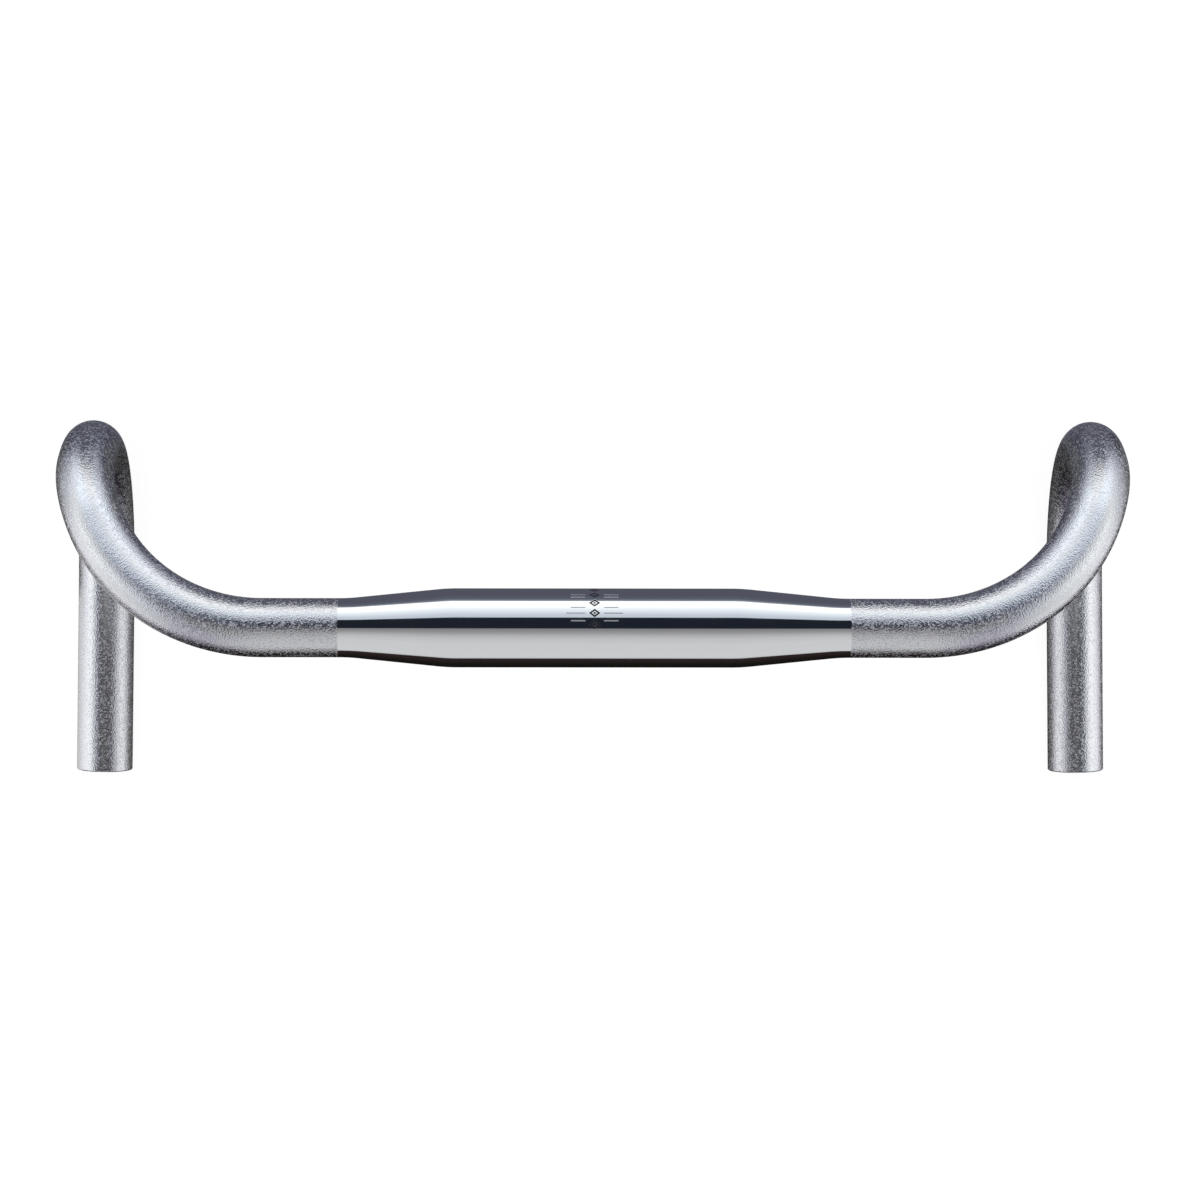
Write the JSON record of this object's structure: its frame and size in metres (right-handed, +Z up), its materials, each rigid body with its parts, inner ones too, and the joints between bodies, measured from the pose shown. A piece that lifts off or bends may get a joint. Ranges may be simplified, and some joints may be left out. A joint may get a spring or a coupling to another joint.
{
  "type": "drop handlebar",
  "caption": "Bare road-bicycle drop handlebar: one bent aluminium tube with a polished clamp section, swaged tapers, bead-blasted arms, compact hooks and open ends.",
  "frame": {"origin": "centre of the clamp section, on the tube's axis", "axes": "+X along the clamp section to the rider's right, +Y forward, +Z up, with both drops level"},
  "size_m": [0.4418, 0.1529, 0.1558],
  "materials": {
    "polished_aluminium": "polished",
    "blasted_aluminium": "bead-blasted, clear anodised"
  },
  "bodies": {
    "root": {"clamp_section": "polished_aluminium", "left_taper": "polished_aluminium", "right_taper": "polished_aluminium", "left_top": "blasted_aluminium", "right_top": "blasted_aluminium", "left_shoulder": "blasted_aluminium", "right_shoulder": "blasted_aluminium", "left_ramp": "blasted_aluminium", "right_ramp": "blasted_aluminium", "left_hook_upper": "blasted_aluminium", "right_hook_upper": "blasted_aluminium", "left_hook_lower": "blasted_aluminium", "right_hook_lower": "blasted_aluminium", "left_drop": "blasted_aluminium", "right_drop": "blasted_aluminium"}
  },
  "joints": []
}
